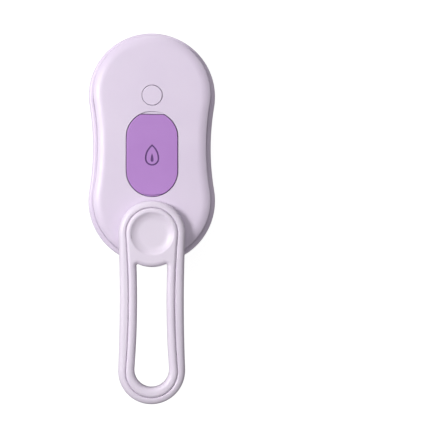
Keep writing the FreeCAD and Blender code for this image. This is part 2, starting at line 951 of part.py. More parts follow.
save("upper_casing", upper_casing())
save("lower_casing", lower_casing())
save("case_gasket", case_gasket())
save("case_screws", Part.makeCompound([case_screw(x, y) for x, y in screw_places()]))
save("brush_pad", brush_pad())
save("nozzle_ring", nozzle_ring())
save("disc_seal", disc_seal())
save("mist_mesh", mist_mesh())
save("mist_piezo_ring", mist_piezo_ring())
save("tank_shell", tank_shell())
save("tank_seal", tank_seal())
save("tank_lid", tank_lid())
save("filler_gasket", filler_gasket())
save("water_cap", water_cap())
save("cap_plug", cap_plug())
save("cap_strap", cap_strap())
save("power_button", power_button())
save("button_membrane", button_membrane())
save("switch_body", switch_body())
save("switch_plunger", switch_plunger())
save("circuit_board", circuit_board())
save("board_screws", Part.makeCompound([board_screw(x, y) for x, y in board_screw_places()]))
save("usb_socket", usb_socket())
save("control_chip", control_chip())
save("charger_chip", charger_chip())
save("drive_coil", drive_coil())
save("status_led", status_led())
save("battery_cell", battery_cell())
save("battery_pad", battery_pad())
save("battery_leads", Part.makeCompound([
    battery_lead(battery_lead_high, 0),
    battery_lead(battery_lead_low, battery_lead_spacing),
]))
save("piezo_leads", Part.makeCompound([
    piezo_lead(-piezo_lead_half_spacing),
    piezo_lead(piezo_lead_half_spacing),
]))
save("handle_frame", handle_frame())
save("handle_inlay", handle_inlay())
save("pivot_bush", pivot_bush())
save("pivot_washer", pivot_washer())
save("pivot_screw", pivot_screw())
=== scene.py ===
import math

import bmesh
import bpy
from mathutils import Matrix, Vector


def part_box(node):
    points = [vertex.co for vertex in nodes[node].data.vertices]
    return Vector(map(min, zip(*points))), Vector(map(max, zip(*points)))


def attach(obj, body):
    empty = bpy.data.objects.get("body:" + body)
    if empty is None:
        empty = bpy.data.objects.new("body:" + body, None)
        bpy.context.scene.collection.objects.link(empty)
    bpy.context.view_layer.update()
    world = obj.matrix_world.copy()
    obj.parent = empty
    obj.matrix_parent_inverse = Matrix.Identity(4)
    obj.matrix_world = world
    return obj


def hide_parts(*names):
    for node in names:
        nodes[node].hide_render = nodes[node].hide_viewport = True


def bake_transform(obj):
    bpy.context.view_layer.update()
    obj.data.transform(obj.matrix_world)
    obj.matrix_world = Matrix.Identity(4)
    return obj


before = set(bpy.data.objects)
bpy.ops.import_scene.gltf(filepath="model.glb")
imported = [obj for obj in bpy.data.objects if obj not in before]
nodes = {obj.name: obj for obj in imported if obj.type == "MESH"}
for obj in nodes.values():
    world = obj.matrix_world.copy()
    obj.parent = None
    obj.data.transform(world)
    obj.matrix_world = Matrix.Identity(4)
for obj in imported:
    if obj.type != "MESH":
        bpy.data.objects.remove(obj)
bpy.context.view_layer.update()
scene = bpy.context.scene
mm = 0.001
tiny = 0.001 * mm          # points closer than this are one point
cornerAngle = 1.0          # radians between two faces, past which their edge is a corner
waistIn = 2.25 * mm        # how far the body's waist pulls in from its lobes
print("frame loaded,", len(nodes), "nodes")


def newPiece(name, bm, material, body, sharpAngle=50):
    bmesh.ops.recalc_face_normals(bm, faces=bm.faces[:])
    mesh = bpy.data.meshes.new(name)
    bm.to_mesh(mesh)
    bm.free()
    mesh.shade_smooth()
    mesh.set_sharp_from_angle(angle=math.radians(sharpAngle))
    piece = bpy.data.objects.new(name, mesh)
    scene.collection.objects.link(piece)
    mesh.materials.append(material)
    if body:
        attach(piece, body)
    return piece


def spinOutline(bm, outline, place, steps):
    # turns a line of (radius, height) in millimetres once round the upright axis at place
    line = [bm.verts.new((place[0] + r * mm, place[1], place[2] + z * mm)) for r, z in outline]
    edges = [bm.edges.new(pair) for pair in zip(line, line[1:])]
    bmesh.ops.spin(bm, geom=line + edges, cent=place, axis=(0, 0, 1), dvec=(0, 0, 0),
                   angle=math.tau, steps=steps, use_merge=True, use_duplicate=False)


def spunPiece(name, values, place, material, body, node):
    bm = bmesh.new()
    spinOutline(bm, values["outline"], place, values["steps"])
    bmesh.ops.remove_doubles(bm, verts=bm.verts[:], dist=tiny)
    piece = newPiece(name, bm, material, body)
    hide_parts(node)
    return piece


def arcFrom(bm, vert, centre, angle, steps):
    # walks one vertex round a centre and gives back the end of the arc
    turned = bmesh.ops.spin(bm, geom=[vert], cent=centre, axis=(0, 0, 1), dvec=(0, 0, 0),
                            angle=angle, steps=steps, use_duplicate=False)
    return [g for g in turned["geom_last"] if isinstance(g, bmesh.types.BMVert)][0]


def lobedLoop(bm, node, inset, z, lobeSteps=36, waistSteps=14):
    # closed loop of two round lobes joined by hollow waist arcs, set in from the node's outline
    low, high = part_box(node)
    halfWidth = (high.x - low.x) / 2 - inset
    span = (high.y - low.y - high.x + low.x) / 2
    y = (low.y + high.y) / 2
    waist = halfWidth - waistIn
    waistArc = (waist ** 2 + span ** 2 - halfWidth ** 2) / (2 * waistIn)
    lean = math.asin(span / (halfWidth + waistArc))
    farX = waist + waistArc
    before = set(bm.edges)
    start = bm.verts.new((halfWidth * math.cos(lean), y + span - halfWidth * math.sin(lean), z))
    vert = arcFrom(bm, start, (0, y + span, z), math.pi + 2 * lean, lobeSteps)
    vert = arcFrom(bm, vert, (-farX, y, z), -2 * lean, waistSteps)
    vert = arcFrom(bm, vert, (0, y - span, z), math.pi + 2 * lean, lobeSteps)
    last = arcFrom(bm, vert, (farX, y, z), -2 * lean, waistSteps)
    bmesh.ops.pointmerge(bm, verts=[start, last], merge_co=start.co)
    return [edge for edge in bm.edges if edge not in before]


def startMaterial(name, colour, roughness):
    material = bpy.data.materials.new(name)
    material.use_nodes = True
    tree = material.node_tree
    shader = tree.nodes["Principled BSDF"]
    shader.inputs["Base Color"].default_value = (*colour, 1)
    shader.inputs["Roughness"].default_value = roughness
    return material, tree, shader


def objectPlace(tree, stretch=(1, 1, 1)):
    place = tree.nodes.new("ShaderNodeTexCoord")
    mapping = tree.nodes.new("ShaderNodeMapping")
    mapping.inputs["Scale"].default_value = stretch
    tree.links.new(place.outputs["Object"], mapping.inputs["Vector"])
    return mapping.outputs["Vector"]


def objectNoise(tree, scale, detail=2.0, rough=0.5, stretch=(1, 1, 1)):
    noise = tree.nodes.new("ShaderNodeTexNoise")
    noise.inputs["Scale"].default_value = scale
    noise.inputs["Detail"].default_value = detail
    noise.inputs["Roughness"].default_value = rough
    tree.links.new(objectPlace(tree, stretch), noise.inputs["Vector"])
    return noise.outputs["Fac"]


def mapRange(tree, value, fromSpan, toSpan):
    span = tree.nodes.new("ShaderNodeMapRange")
    span.inputs["From Min"].default_value = fromSpan[0]
    span.inputs["From Max"].default_value = fromSpan[1]
    span.inputs["To Min"].default_value = toSpan[0]
    span.inputs["To Max"].default_value = toSpan[1]
    tree.links.new(value, span.inputs["Value"])
    return span.outputs["Result"]


def mixColours(tree, share, first, second):
    # first and second are a colour or another node's output
    mix = tree.nodes.new("ShaderNodeMix")
    mix.data_type = "RGBA"
    tree.links.new(share, mix.inputs["Factor"])
    for entry, given in ((mix.inputs["A"], first), (mix.inputs["B"], second)):
        if isinstance(given, tuple):
            entry.default_value = (*given, 1)
        else:
            tree.links.new(given, entry)
    return mix.outputs["Result"]


driftSpan = (0.35, 0.65)     # the stretch of a noise's values that a colour drifts over
sheenSpan = (0.3, 0.7)       # and the stretch that a roughness varies over


def driftColour(tree, colour, other, scale):
    # slow drift between two shades of the same colour
    share = mapRange(tree, objectNoise(tree, scale, 3.0), driftSpan, (0, 1))
    return mixColours(tree, share, colour, other)


def varySheen(tree, shader, scale, roughSpan, rough=0.5):
    sheen = mapRange(tree, objectNoise(tree, scale, 4.0, rough), sheenSpan, roughSpan)
    tree.links.new(sheen, shader.inputs["Roughness"])


def addBump(tree, shader, layers):
    # each layer is (height field, depth), stacked one on the next
    below = None
    for field, depth in layers:
        bump = tree.nodes.new("ShaderNodeBump")
        bump.inputs["Distance"].default_value = depth
        tree.links.new(field, bump.inputs["Height"])
        if below:
            tree.links.new(below, bump.inputs["Normal"])
        below = bump.outputs["Normal"]
    tree.links.new(below, shader.inputs["Normal"])


# what all the satin mouldings share
satinValues = {
    "flatRoughness": 0.4,        # where the varied one can't be shown
    "driftScale": 45,
    "speckScale": 3400,
    "speckSpan": (0.66, 0.74),
    "speckShare": 0.35,
    "handlingScale": 110,
    "handlingRough": 0.62,
    "flowScale": 55,
    "flowHeight": 0.02 * mm,
    "glow": 0.06,
    "glowRadius": (1.0, 0.8, 1.0),
    "glowDepth": 0.8 * mm,
}

casingLook = {
    "colour": (0.70, 0.612, 0.745),
    "shade": (0.68, 0.592, 0.73),
    "speck": (0.65, 0.56, 0.70),
    "roughness": (0.34, 0.45),
    "grainScale": 2600,
    "grainHeight": 0.012 * mm,
}


def satinPlastic(name, look):
    # moulded plastic: spark-eroded grain, faint flow marks, and a sheen that handling has varied
    v = satinValues
    material, tree, shader = startMaterial(name, look["colour"], v["flatRoughness"])
    base = driftColour(tree, look["colour"], look["shade"], v["driftScale"])
    specks = mapRange(tree, objectNoise(tree, v["speckScale"], 2.0), v["speckSpan"], (0, v["speckShare"]))
    tree.links.new(mixColours(tree, specks, base, look["speck"]), shader.inputs["Base Color"])
    varySheen(tree, shader, v["handlingScale"], look["roughness"], v["handlingRough"])
    addBump(tree, shader, [
        (objectNoise(tree, v["flowScale"], 1.0), v["flowHeight"]),
        (objectNoise(tree, look["grainScale"], 3.0), look["grainHeight"]),
    ])
    shader.inputs["Subsurface Weight"].default_value = look.get("glow", v["glow"])
    shader.inputs["Subsurface Radius"].default_value = v["glowRadius"]
    shader.inputs["Subsurface Scale"].default_value = v["glowDepth"]
    return material


handleLook = {
    "colour": (0.735, 0.66, 0.765),
    "shade": (0.715, 0.64, 0.75),
    "speck": (0.69, 0.61, 0.72),
    "roughness": (0.34, 0.44),
    "grainScale": 3000,
    "grainHeight": 0.008 * mm,
}

lidLook = {
    "colour": (0.435, 0.215, 0.565),
    "shade": (0.415, 0.20, 0.545),
    "speck": (0.38, 0.18, 0.50),
    # ink fill in the engraving, and painted shade on the lid's sides for the gap round it
    "inkAndPaintedShade": (0.12, 0.04, 0.20),
    "inkAndPaintedShadeDepth": 0.16 * mm,
    "inkAndPaintedShadeFade": 0.04 * mm,
    "roughness": (0.40, 0.50),
    "grainScale": 2400,
    "grainHeight": 0.014 * mm,
    "glow": 0.04,
}


def lidPlastic():
    # the same moulded plastic, darker below the face: ink fill in the engraving, and painted shade on the
    # sides below the face for the dark gap round the lid
    material = satinPlastic("satinLid", lidLook)
    tree = material.node_tree
    shader = tree.nodes["Principled BSDF"]
    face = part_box("water_cap")[1].z
    height = tree.nodes.new("ShaderNodeSeparateXYZ")
    tree.links.new(objectPlace(tree), height.inputs["Vector"])
    # below this height the colour turns to ink in the engraving and to painted shade on the sides
    inkAndPaintedShadeTop = face - lidLook["inkAndPaintedShadeDepth"]
    inkAndPaintedShadeShare = mapRange(tree, height.outputs["Z"], (inkAndPaintedShadeTop - lidLook["inkAndPaintedShadeFade"], inkAndPaintedShadeTop), (1, 0))
    plain = shader.inputs["Base Color"].links[0].from_socket
    tree.links.new(mixColours(tree, inkAndPaintedShadeShare, plain, lidLook["inkAndPaintedShade"]), shader.inputs["Base Color"])
    return material


padLook = {
    "colour": (0.205, 0.085, 0.475),
    "shade": (0.185, 0.072, 0.44),
    "tip": (0.30, 0.155, 0.60),      # painted light: paler towards the nub tips, standing in for light shining through the thin silicone
    "tipReach": 3.6 * mm,
    "flatRoughness": 0.38,
    "roughness": (0.30, 0.42),
    "driftScale": 60,
    "bloomScale": 260,
    "bloomRough": 0.6,
    "rippleScale": 300,
    "rippleHeight": 0.015 * mm,
    "grainScale": 2200,
    "grainHeight": 0.008 * mm,
    "glow": 0.25,
    "glowRadius": (0.9, 0.5, 1.4),
    "glowDepth": 1.2 * mm,
    "sheen": 0.15,
    "sheenRoughness": 0.4,
}


def padSilicone():
    v = padLook
    material, tree, shader = startMaterial("padSilicone", v["colour"], v["flatRoughness"])
    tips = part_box("brush_pad")[0].z
    height = tree.nodes.new("ShaderNodeSeparateXYZ")
    tree.links.new(objectPlace(tree), height.inputs["Vector"])
    # painted light: the colour turns paler towards the nub tips
    paintedTipLightShare = mapRange(tree, height.outputs["Z"], (tips + v["tipReach"], tips), (0, 1))
    base = driftColour(tree, v["colour"], v["shade"], v["driftScale"])
    tree.links.new(mixColours(tree, paintedTipLightShare, base, v["tip"]), shader.inputs["Base Color"])
    varySheen(tree, shader, v["bloomScale"], v["roughness"], v["bloomRough"])
    addBump(tree, shader, [
        (objectNoise(tree, v["rippleScale"], 2.0), v["rippleHeight"]),
        (objectNoise(tree, v["grainScale"], 2.0), v["grainHeight"]),
    ])
    shader.inputs["Subsurface Weight"].default_value = v["glow"]
    shader.inputs["Subsurface Radius"].default_value = v["glowRadius"]
    shader.inputs["Subsurface Scale"].default_value = v["glowDepth"]
    shader.inputs["Sheen Weight"].default_value = v["sheen"]
    shader.inputs["Sheen Roughness"].default_value = v["sheenRoughness"]
    return material


rubberValues = {
    "driftScale": 90,
    "bloomScale": 320,
    "bloomSpread": (-0.07, 0.08),
    "grainScale": 1500,
    "grainHeight": 0.012 * mm,
    "glowDepth": 1.5 * mm,
}


def rubberLook(name, colour, shade, glow, roughness=0.45):
    # soft rubber or silicone with a faint powdery bloom
    v = rubberValues
    material, tree, shader = startMaterial(name, colour, roughness)
    tree.links.new(driftColour(tree, colour, shade, v["driftScale"]), shader.inputs["Base Color"])
    varySheen(tree, shader, v["bloomScale"], [roughness + spread for spread in v["bloomSpread"]])
    addBump(tree, shader, [(objectNoise(tree, v["grainScale"], 3.0), v["grainHeight"])])
    shader.inputs["Subsurface Weight"].default_value = glow
    shader.inputs["Subsurface Scale"].default_value = v["glowDepth"]
    return material


paleLook = {
    "colour": (0.72, 0.64, 0.76),
    "shade": (0.69, 0.61, 0.73),
    "speck": (0.66, 0.58, 0.70),
    "roughness": (0.20, 0.30),
    "grainScale": 2600,
    "grainHeight": 0.006 * mm,
}


metalValues = {
    "shade": 0.82,
    "driftScale": 350,
    "lineScale": 900,
    "lineHeight": 0.01 * mm,
    "lineSpread": (-0.1, 0.12),
}


def brushedMetal(name, colour, roughness, stretch=(1, 12, 1)):
    v = metalValues
    material, tree, shader = startMaterial(name, colour, roughness)
    shader.inputs["Metallic"].default_value = 1.0
    darker = tuple(v["shade"] * c for c in colour)
    tree.links.new(driftColour(tree, colour, darker, v["driftScale"]), shader.inputs["Base Color"])
    lines = objectNoise(tree, v["lineScale"], 4.0, 0.6, stretch)
    roughSpan = [roughness + spread for spread in v["lineSpread"]]
    tree.links.new(mapRange(tree, lines, (0, 1), roughSpan), shader.inputs["Roughness"])
    addBump(tree, shader, [(lines, v["lineHeight"])])
    return material


mistLook = {
    "steel": (0.12, 0.05, 0.038),
    "worn": (0.17, 0.078, 0.056),
    # painted shade: near-black dots stand in for the shade inside the holes, which are not cut
    "hole": (0.012, 0.005, 0.004),
    "holePitch": 0.42 * mm,
    "holeEdge": (0.2, 0.3),          # as shares of the pitch
    "holeDepth": 0.04 * mm,
    "wornScale": 420,
    "metallic": 0.85,
    "roughness": 0.34,
}


def mistSteel():
    # laser-drilled disc: a lattice of tiny holes in warm steel, the holes only as dots of painted shade
    v = mistLook
    material, tree, shader = startMaterial("mistSteel", v["steel"], v["roughness"])
    shader.inputs["Metallic"].default_value = v["metallic"]
    dots = tree.nodes.new("ShaderNodeTexVoronoi")
    dots.inputs["Scale"].default_value = 1 / v["holePitch"]
    dots.inputs["Randomness"].default_value = 0.0
    tree.links.new(objectPlace(tree), dots.inputs["Vector"])
    solid = mapRange(tree, dots.outputs["Distance"], v["holeEdge"], (0, 1))
    tint = driftColour(tree, v["steel"], v["worn"], v["wornScale"])
    tree.links.new(mixColours(tree, solid, v["hole"], tint), shader.inputs["Base Color"])
    addBump(tree, shader, [(solid, v["holeDepth"])])
    return material


boardLook = {
    "flatColour": (0.02, 0.13, 0.05),
    "mask": (0.018, 0.12, 0.045),
    "track": (0.03, 0.19, 0.08),
    "trackScale": 700,
    "trackStretch": (0.12, 1, 1),
    "trackEdge": (0.5, 0.53),
    "trackHeight": 0.03 * mm,
    "roughness": 0.3,
    "coat": 0.5,
}


def boardLaminate():
    # soldermask over copper tracks that all run one way
    v = boardLook
    material, tree, shader = startMaterial("boardLaminate", v["flatColour"], v["roughness"])
    along = objectNoise(tree, v["trackScale"], 1.0, 0.5, v["trackStretch"])
    tracks = mapRange(tree, along, v["trackEdge"], (0, 1))
    tree.links.new(mixColours(tree, tracks, v["mask"], v["track"]), shader.inputs["Base Color"])
    addBump(tree, shader, [(tracks, v["trackHeight"])])
    shader.inputs["Coat Weight"].default_value = v["coat"]
    return material


mouldedValues = {
    "shade": 0.86,
    "driftScale": 120,
    "sheenScale": 400,
    "sheenSpread": (-0.07, 0.07),
    "grainScale": 2000,
    "grainHeight": 0.01 * mm,
}


def mouldedPlastic(name, colour, roughness=0.45):
    # plain finish for the pieces inside
    v = mouldedValues
    material, tree, shader = startMaterial(name, colour, roughness)
    darker = tuple(v["shade"] * c for c in colour)
    tree.links.new(driftColour(tree, colour, darker, v["driftScale"]), shader.inputs["Base Color"])
    varySheen(tree, shader, v["sheenScale"], [roughness + spread for spread in v["sheenSpread"]])
    addBump(tree, shader, [(objectNoise(tree, v["grainScale"], 3.0), v["grainHeight"])])
    return material


tankLook = {
    "colour": (0.70, 0.76, 0.80),
    "roughness": 0.25,
    "glow": 0.5,
    "glowDepth": 2.0 * mm,
}


def tankPlastic():
    material = mouldedPlastic("milkyTank", tankLook["colour"], tankLook["roughness"])
    shader = material.node_tree.nodes["Principled BSDF"]
    shader.inputs["Subsurface Weight"].default_value = tankLook["glow"]
    shader.inputs["Subsurface Scale"].default_value = tankLook["glowDepth"]
    return material


materials = {
    "casing": satinPlastic("satinCasing", casingLook),
    "handle": satinPlastic("satinHandle", handleLook),
    "lid": lidPlastic(),
    "pad": padSilicone(),
    "seal": rubberLook("milkySilicone", (0.70, 0.69, 0.72), (0.64, 0.63, 0.67), 0.4),
    "strap": rubberLook("strapRubber", (0.50, 0.28, 0.63), (0.47, 0.26, 0.60), 0.15),
    "bead": rubberLook("greyBead", (0.075, 0.065, 0.085), (0.06, 0.052, 0.07), 0.0, 0.55),
    "pale": satinPlastic("palePlastic", paleLook),
    "mist": mistSteel(),
    "piezo": mouldedPlastic("piezoCeramic", (0.72, 0.66, 0.52), 0.5),
    "tank": tankPlastic(),
    "board": boardLaminate(),
    "black": mouldedPlastic("blackEpoxy", (0.02, 0.02, 0.022), 0.5),
    "led": mouldedPlastic("ledResin", (0.85, 0.84, 0.72), 0.2),
    "steel": brushedMetal("zincSteel", (0.60, 0.60, 0.62), 0.35),
    "socket": brushedMetal("socketSteel", (0.66, 0.66, 0.68), 0.28, (1, 1, 14)),
    "gold": brushedMetal("goldPlate", (0.80, 0.58, 0.24), 0.25),
    "cell": mouldedPlastic("cellSleeve", (0.05, 0.10, 0.32), 0.25),
    "foam": mouldedPlastic("adhesiveFoam", (0.08, 0.08, 0.085), 0.9),
    "wire": mouldedPlastic("wireJacket", (0.42, 0.03, 0.03), 0.5),
    "bush": mouldedPlastic("acetalBush", (0.80, 0.78, 0.73), 0.4),
}

nodeLooks = {
    "casing": ["upper_casing", "lower_casing", "power_button"],
    "handle": ["handle_frame", "handle_inlay"],
    "lid": ["water_cap"],
    "strap": ["cap_strap"],
    "pad": ["brush_pad"],
    "bead": ["case_gasket"],
    "seal": ["disc_seal", "tank_seal", "filler_gasket", "cap_plug", "button_membrane"],
    "pale": ["nozzle_ring"],
    "mist": ["mist_mesh"],
    "piezo": ["mist_piezo_ring"],
    "tank": ["tank_shell", "tank_lid"],
    "board": ["circuit_board"],
    "black": ["switch_body", "switch_plunger", "control_chip", "charger_chip", "drive_coil"],
    "led": ["status_led"],
    "steel": ["case_screws", "board_screws", "pivot_washer", "pivot_screw"],
    "socket": ["usb_socket"],
    "cell": ["battery_cell"],
    "foam": ["battery_pad"],
    "wire": ["battery_leads", "piezo_leads"],
    "bush": ["pivot_bush"],
}

for lookName, members in nodeLooks.items():
    for member in members:
        for slot in nodes[member].material_slots:
            slot.material = materials[lookName]
print("materials set")


# silicone pad with its nubs
padValues = {
    "faceHeight": 7.0 * mm,     # from the nub tips to the sheet
    "edgeRound": 1.2 * mm,
    "edgeSteps": 5,
    "nubPitch": 8.05 * mm,
    "middlePitch": 9.0 * mm,
    "ringCentre": 28.0 * mm,
    "outerRing": 23.1 * mm,
    "secondRing": 15.4 * mm,
    "thirdRing": 7.8 * mm,
    "rows": 4,
    "outerAngles": (10, 30, 50, 70),
    "secondAngles": (12.5, 44, 75),
    "thirdAngles": (27,),
    "sameWithin": 0.5 * mm,     # nubs nearer than this are one nub
    "outerLift": 0.6 * mm,
    "nubSides": 20,
    "holeRadius": 5.75 * mm,    # round the mist nozzle
    "holeSteps": 64,
    "holeReach": 10.0 * mm,     # edges further out than this belong to the sheet's outline
    # radius and height above the tip, from the flared root to the domed tip
    "nubProfile": [(3.3, 7.02), (2.8, 6.82), (2.45, 6.3), (2.25, 5.4), (2.02, 3.9), (1.76, 2.4),
                   (1.58, 1.5), (1.36, 0.8), (1.0, 0.32), (0.52, 0.07), (0, 0)],
}


def mirroredPlaces(places):
    found = []
    for x, y in places:
        for place in ((x, y), (-x, y), (x, -y), (-x, -y)):
            if all(math.dist(place, other) > padValues["sameWithin"] for other in found):
                found.append(place)
    return found


def ringPlaces(radius, angles):
    centre = padValues["ringCentre"]
    return [(radius * math.sin(math.radians(a)), centre + radius * math.cos(math.radians(a)))
            for a in angles]


def nubPlaces():
    v = padValues
    pitch = v["nubPitch"]
    rows = range(v["rows"])
    outer = [(v["outerRing"], pitch * (row + 0.5)) for row in rows]
    outer += ringPlaces(v["outerRing"], v["outerAngles"])
    inner = [(v["secondRing"], pitch * row) for row in rows]
    inner += [(v["thirdRing"], pitch * (row + 0.5)) for row in rows]
    inner += [(0, v["middlePitch"] * row) for row in rows[1:]]
    inner += ringPlaces(v["secondRing"], v["secondAngles"]) + ringPlaces(v["thirdRing"], v["thirdAngles"])
    lifted = [(place, v["outerLift"]) for place in mirroredPlaces(outer)]
    return lifted + [(place, 0.0) for place in mirroredPlaces(inner)]


def buildPad():
    low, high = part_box("brush_pad")
    centreY = (low.y + high.y) / 2
    profile = padValues["nubProfile"]
    root = profile[0][1]
    face = low.z + padValues["faceHeight"]
    bm = bmesh.new()
    lobedLoop(bm, "brush_pad", 0, face)
    bmesh.ops.create_circle(bm, segments=padValues["holeSteps"], radius=padValues["holeRadius"],
                            matrix=Matrix.Translation((0, centreY, face)))
    bmesh.ops.triangle_fill(bm, use_beauty=True, edges=bm.edges[:])
    top = bmesh.ops.extrude_face_region(bm, geom=bm.faces[:])
    lifted = [g for g in top["geom"] if isinstance(g, bmesh.types.BMVert)]
    bmesh.ops.translate(bm, verts=lifted, vec=(0, 0, high.z - face))
    # the corner round the sheet, but not the one round the hole
    corners = [edge for edge in bm.edges if edge.calc_face_angle(0) > cornerAngle
               and all(abs(vert.co.z - face) < tiny for vert in edge.verts)]
    rim = [edge for edge in corners
           if math.hypot(edge.verts[0].co.x, edge.verts[0].co.y - centreY) > padValues["holeReach"]]
    bmesh.ops.bevel(bm, geom=rim, offset=padValues["edgeRound"], segments=padValues["edgeSteps"],
                    profile=0.5, affect="EDGES", material=-1)
    for (x, y), lift in nubPlaces():
        shorter = 1 - lift / (root * mm)
        outline = [(radius, root - (root - height) * shorter) for radius, height in profile]
        spinOutline(bm, outline, (x, centreY + y, low.z), padValues["nubSides"])
    bmesh.ops.remove_doubles(bm, verts=bm.verts[:], dist=tiny)
    pad = newPiece("siliconePad", bm, materials["pad"], "casing")
    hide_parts("brush_pad")


buildPad()
print("pad built")


# rubber bead in the groove between the two casings
beadValues = {
    "width": 1.2 * mm,
    "round": 0.16 * mm,
    "roundSteps": 3,
}


def buildBead():
    low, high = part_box("case_gasket")
    bm = bmesh.new()
    loops = lobedLoop(bm, "case_gasket", 0, low.z)
    loops += lobedLoop(bm, "case_gasket", beadValues["width"], low.z)
    bmesh.ops.bridge_loops(bm, edges=loops)
    top = bmesh.ops.extrude_face_region(bm, geom=bm.faces[:])
    lifted = [g for g in top["geom"] if isinstance(g, bmesh.types.BMVert)]
    bmesh.ops.translate(bm, verts=lifted, vec=(0, 0, high.z - low.z))
    corners = [edge for edge in bm.edges if edge.calc_face_angle(0) > cornerAngle
               and abs(edge.verts[0].co.z - edge.verts[1].co.z) < tiny]
    bmesh.ops.bevel(bm, geom=corners, offset=beadValues["round"], segments=beadValues["roundSteps"],
                    profile=0.5, affect="EDGES", material=-1)
    bead = newPiece("casingBead", bm, materials["bead"], "casing")
    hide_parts("case_gasket")


stopperValues = {
    "steps": 72,
    # flange, two sealing ribs and a hollow tip, as radius and height over the neck's rim
    "outline": [(0, 1.15), (8.3, 1.15), (8.52, 1.04), (8.6, 0.8), (8.58, 0.3), (8.45, 0.08), (8.2, 0),
                (6.5, 0), (6.05, -0.12), (5.78, -0.42), (5.74, -0.8), (5.86, -0.98), (5.9, -1.12),
                (5.86, -1.26), (5.66, -1.42), (5.54, -1.62), (5.66, -1.8), (5.7, -1.94),
                (5.6, -2.1), (5.36, -2.26), (5.24, -2.5), (5.05, -2.76), (4.7, -2.93), (4.4, -2.94),
                (4.1, -2.8), (4.0, -2.5), (3.95, -0.6), (3.8, -0.28), (3.5, -0.15), (1.1, -0.15),
                (0.9, -0.5), (0.6, -0.62), (0, -0.62)],
}

fillerSealValues = {
    "steps": 72,
    # ring round the filler neck, with a soft lip, as radius and height over the tank lid
    "outline": [(7.45, 0.12), (7.58, 0), (8.2, 0), (8.34, 0.14), (8.34, 0.75), (8.16, 0.88),
                (8.16, 1.0), (8.34, 1.14), (8.3, 1.32), (8.12, 1.38), (7.62, 1.38), (7.48, 1.25),
                (7.45, 0.12)],
}

discSealValues = {
    "steps": 64,
    # lip under the mist disc's rim, as radius and height over the cup's floor
    "outline": [(5.0, 0.2), (5.2, 0.02), (7.9, 0.02), (7.9, 3.1), (7.7, 3.18), (5.3, 3.18),
                (5.05, 2.95), (5.02, 1.75), (5.2, 1.71), (7.54, 1.71), (7.54, 0.78), (5.3, 0.78),
                (5.1, 0.72), (5.0, 0.55), (5.0, 0.2)],
}

discValues = {
    "steps": 72,
    # thin disc with a small dome in its middle, as radius and height over its flat underside
    "outline": [(0, -0.32), (0.5, -0.31), (1.0, -0.27), (1.45, -0.19), (1.8, -0.08), (2.05, -0.01),
                (2.3, 0), (7.42, 0), (7.5, 0.08), (7.5, 0.18), (7.42, 0.25), (2.3, 0.25),
                (2.0, 0.22), (1.5, 0.08), (1.0, -0.02), (0, -0.08)],
}

bootValues = {
    "steps": 72,
    # thin web with a tall rim, as radius and height over its underside
    "outline": [(1.8, 0.1), (1.9, 0), (3.0, 0), (3.3, 0.04), (5.4, 0.04), (5.8, 0), (8.08, 0), (8.2, 0.12),
                (8.2, 0.5), (8.2, 0.9), (8.2, 1.3), (8.2, 1.68), (8.08, 1.8), (7.12, 1.8), (7.0, 1.68),
                (7.0, 1.3), (7.0, 0.9), (7.0, 0.55), (6.85, 0.42), (6.6, 0.4), (5.8, 0.4), (5.4, 0.36),
                (3.3, 0.36), (3.0, 0.4), (1.9, 0.4), (1.8, 0.3), (1.8, 0.1)],
    "webHeight": 0.4 * mm,
}


def middleOf(node, height):
    low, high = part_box(node)
    return ((low.x + high.x) / 2, (low.y + high.y) / 2, height)


buildBead()
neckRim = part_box("cap_plug")[1].z - stopperValues["outline"][0][1] * mm
spunPiece("lidStopper", stopperValues, middleOf("cap_plug", neckRim), materials["seal"],
          "filler_lid", "cap_plug")
spunPiece("fillerSeal", fillerSealValues, middleOf("filler_gasket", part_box("filler_gasket")[0].z),
          materials["seal"], "casing", "filler_gasket")
spunPiece("discSeal", discSealValues, middleOf("mist_mesh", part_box("disc_seal")[0].z),
          materials["seal"], "casing", "disc_seal")
spunPiece("mistDisc", discValues, middleOf("mist_mesh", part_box("mist_mesh")[0].z),
          materials["mist"], "casing", "mist_mesh")
# the button's boot is put on no body, with its placement baked into its mesh; on the real thing the web
# goes down with the button while the top of its rim stays on the casing
bootLow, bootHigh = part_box("button_membrane")
boot = spunPiece("buttonBoot", bootValues, middleOf("button_membrane", bootLow.z), materials["seal"],
                 None, "button_membrane")
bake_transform(boot)
print("seals, stopper, disc and boot built")


# folded strap that holds the lid
strapValues = {
    "thickness": 0.6 * mm,
    "edge": 0.14 * mm,
    "edgeSteps": 2,
    "armGap": 1.0 * mm,        # from the underside of one arm to that of the other
    "foldCuts": 6,
    "widthCuts": 10,
}


def cutAcross(bm, place, normal):
    bmesh.ops.bisect_plane(bm, geom=bm.verts[:] + bm.edges[:] + bm.faces[:], plane_co=place,
                           plane_no=normal)


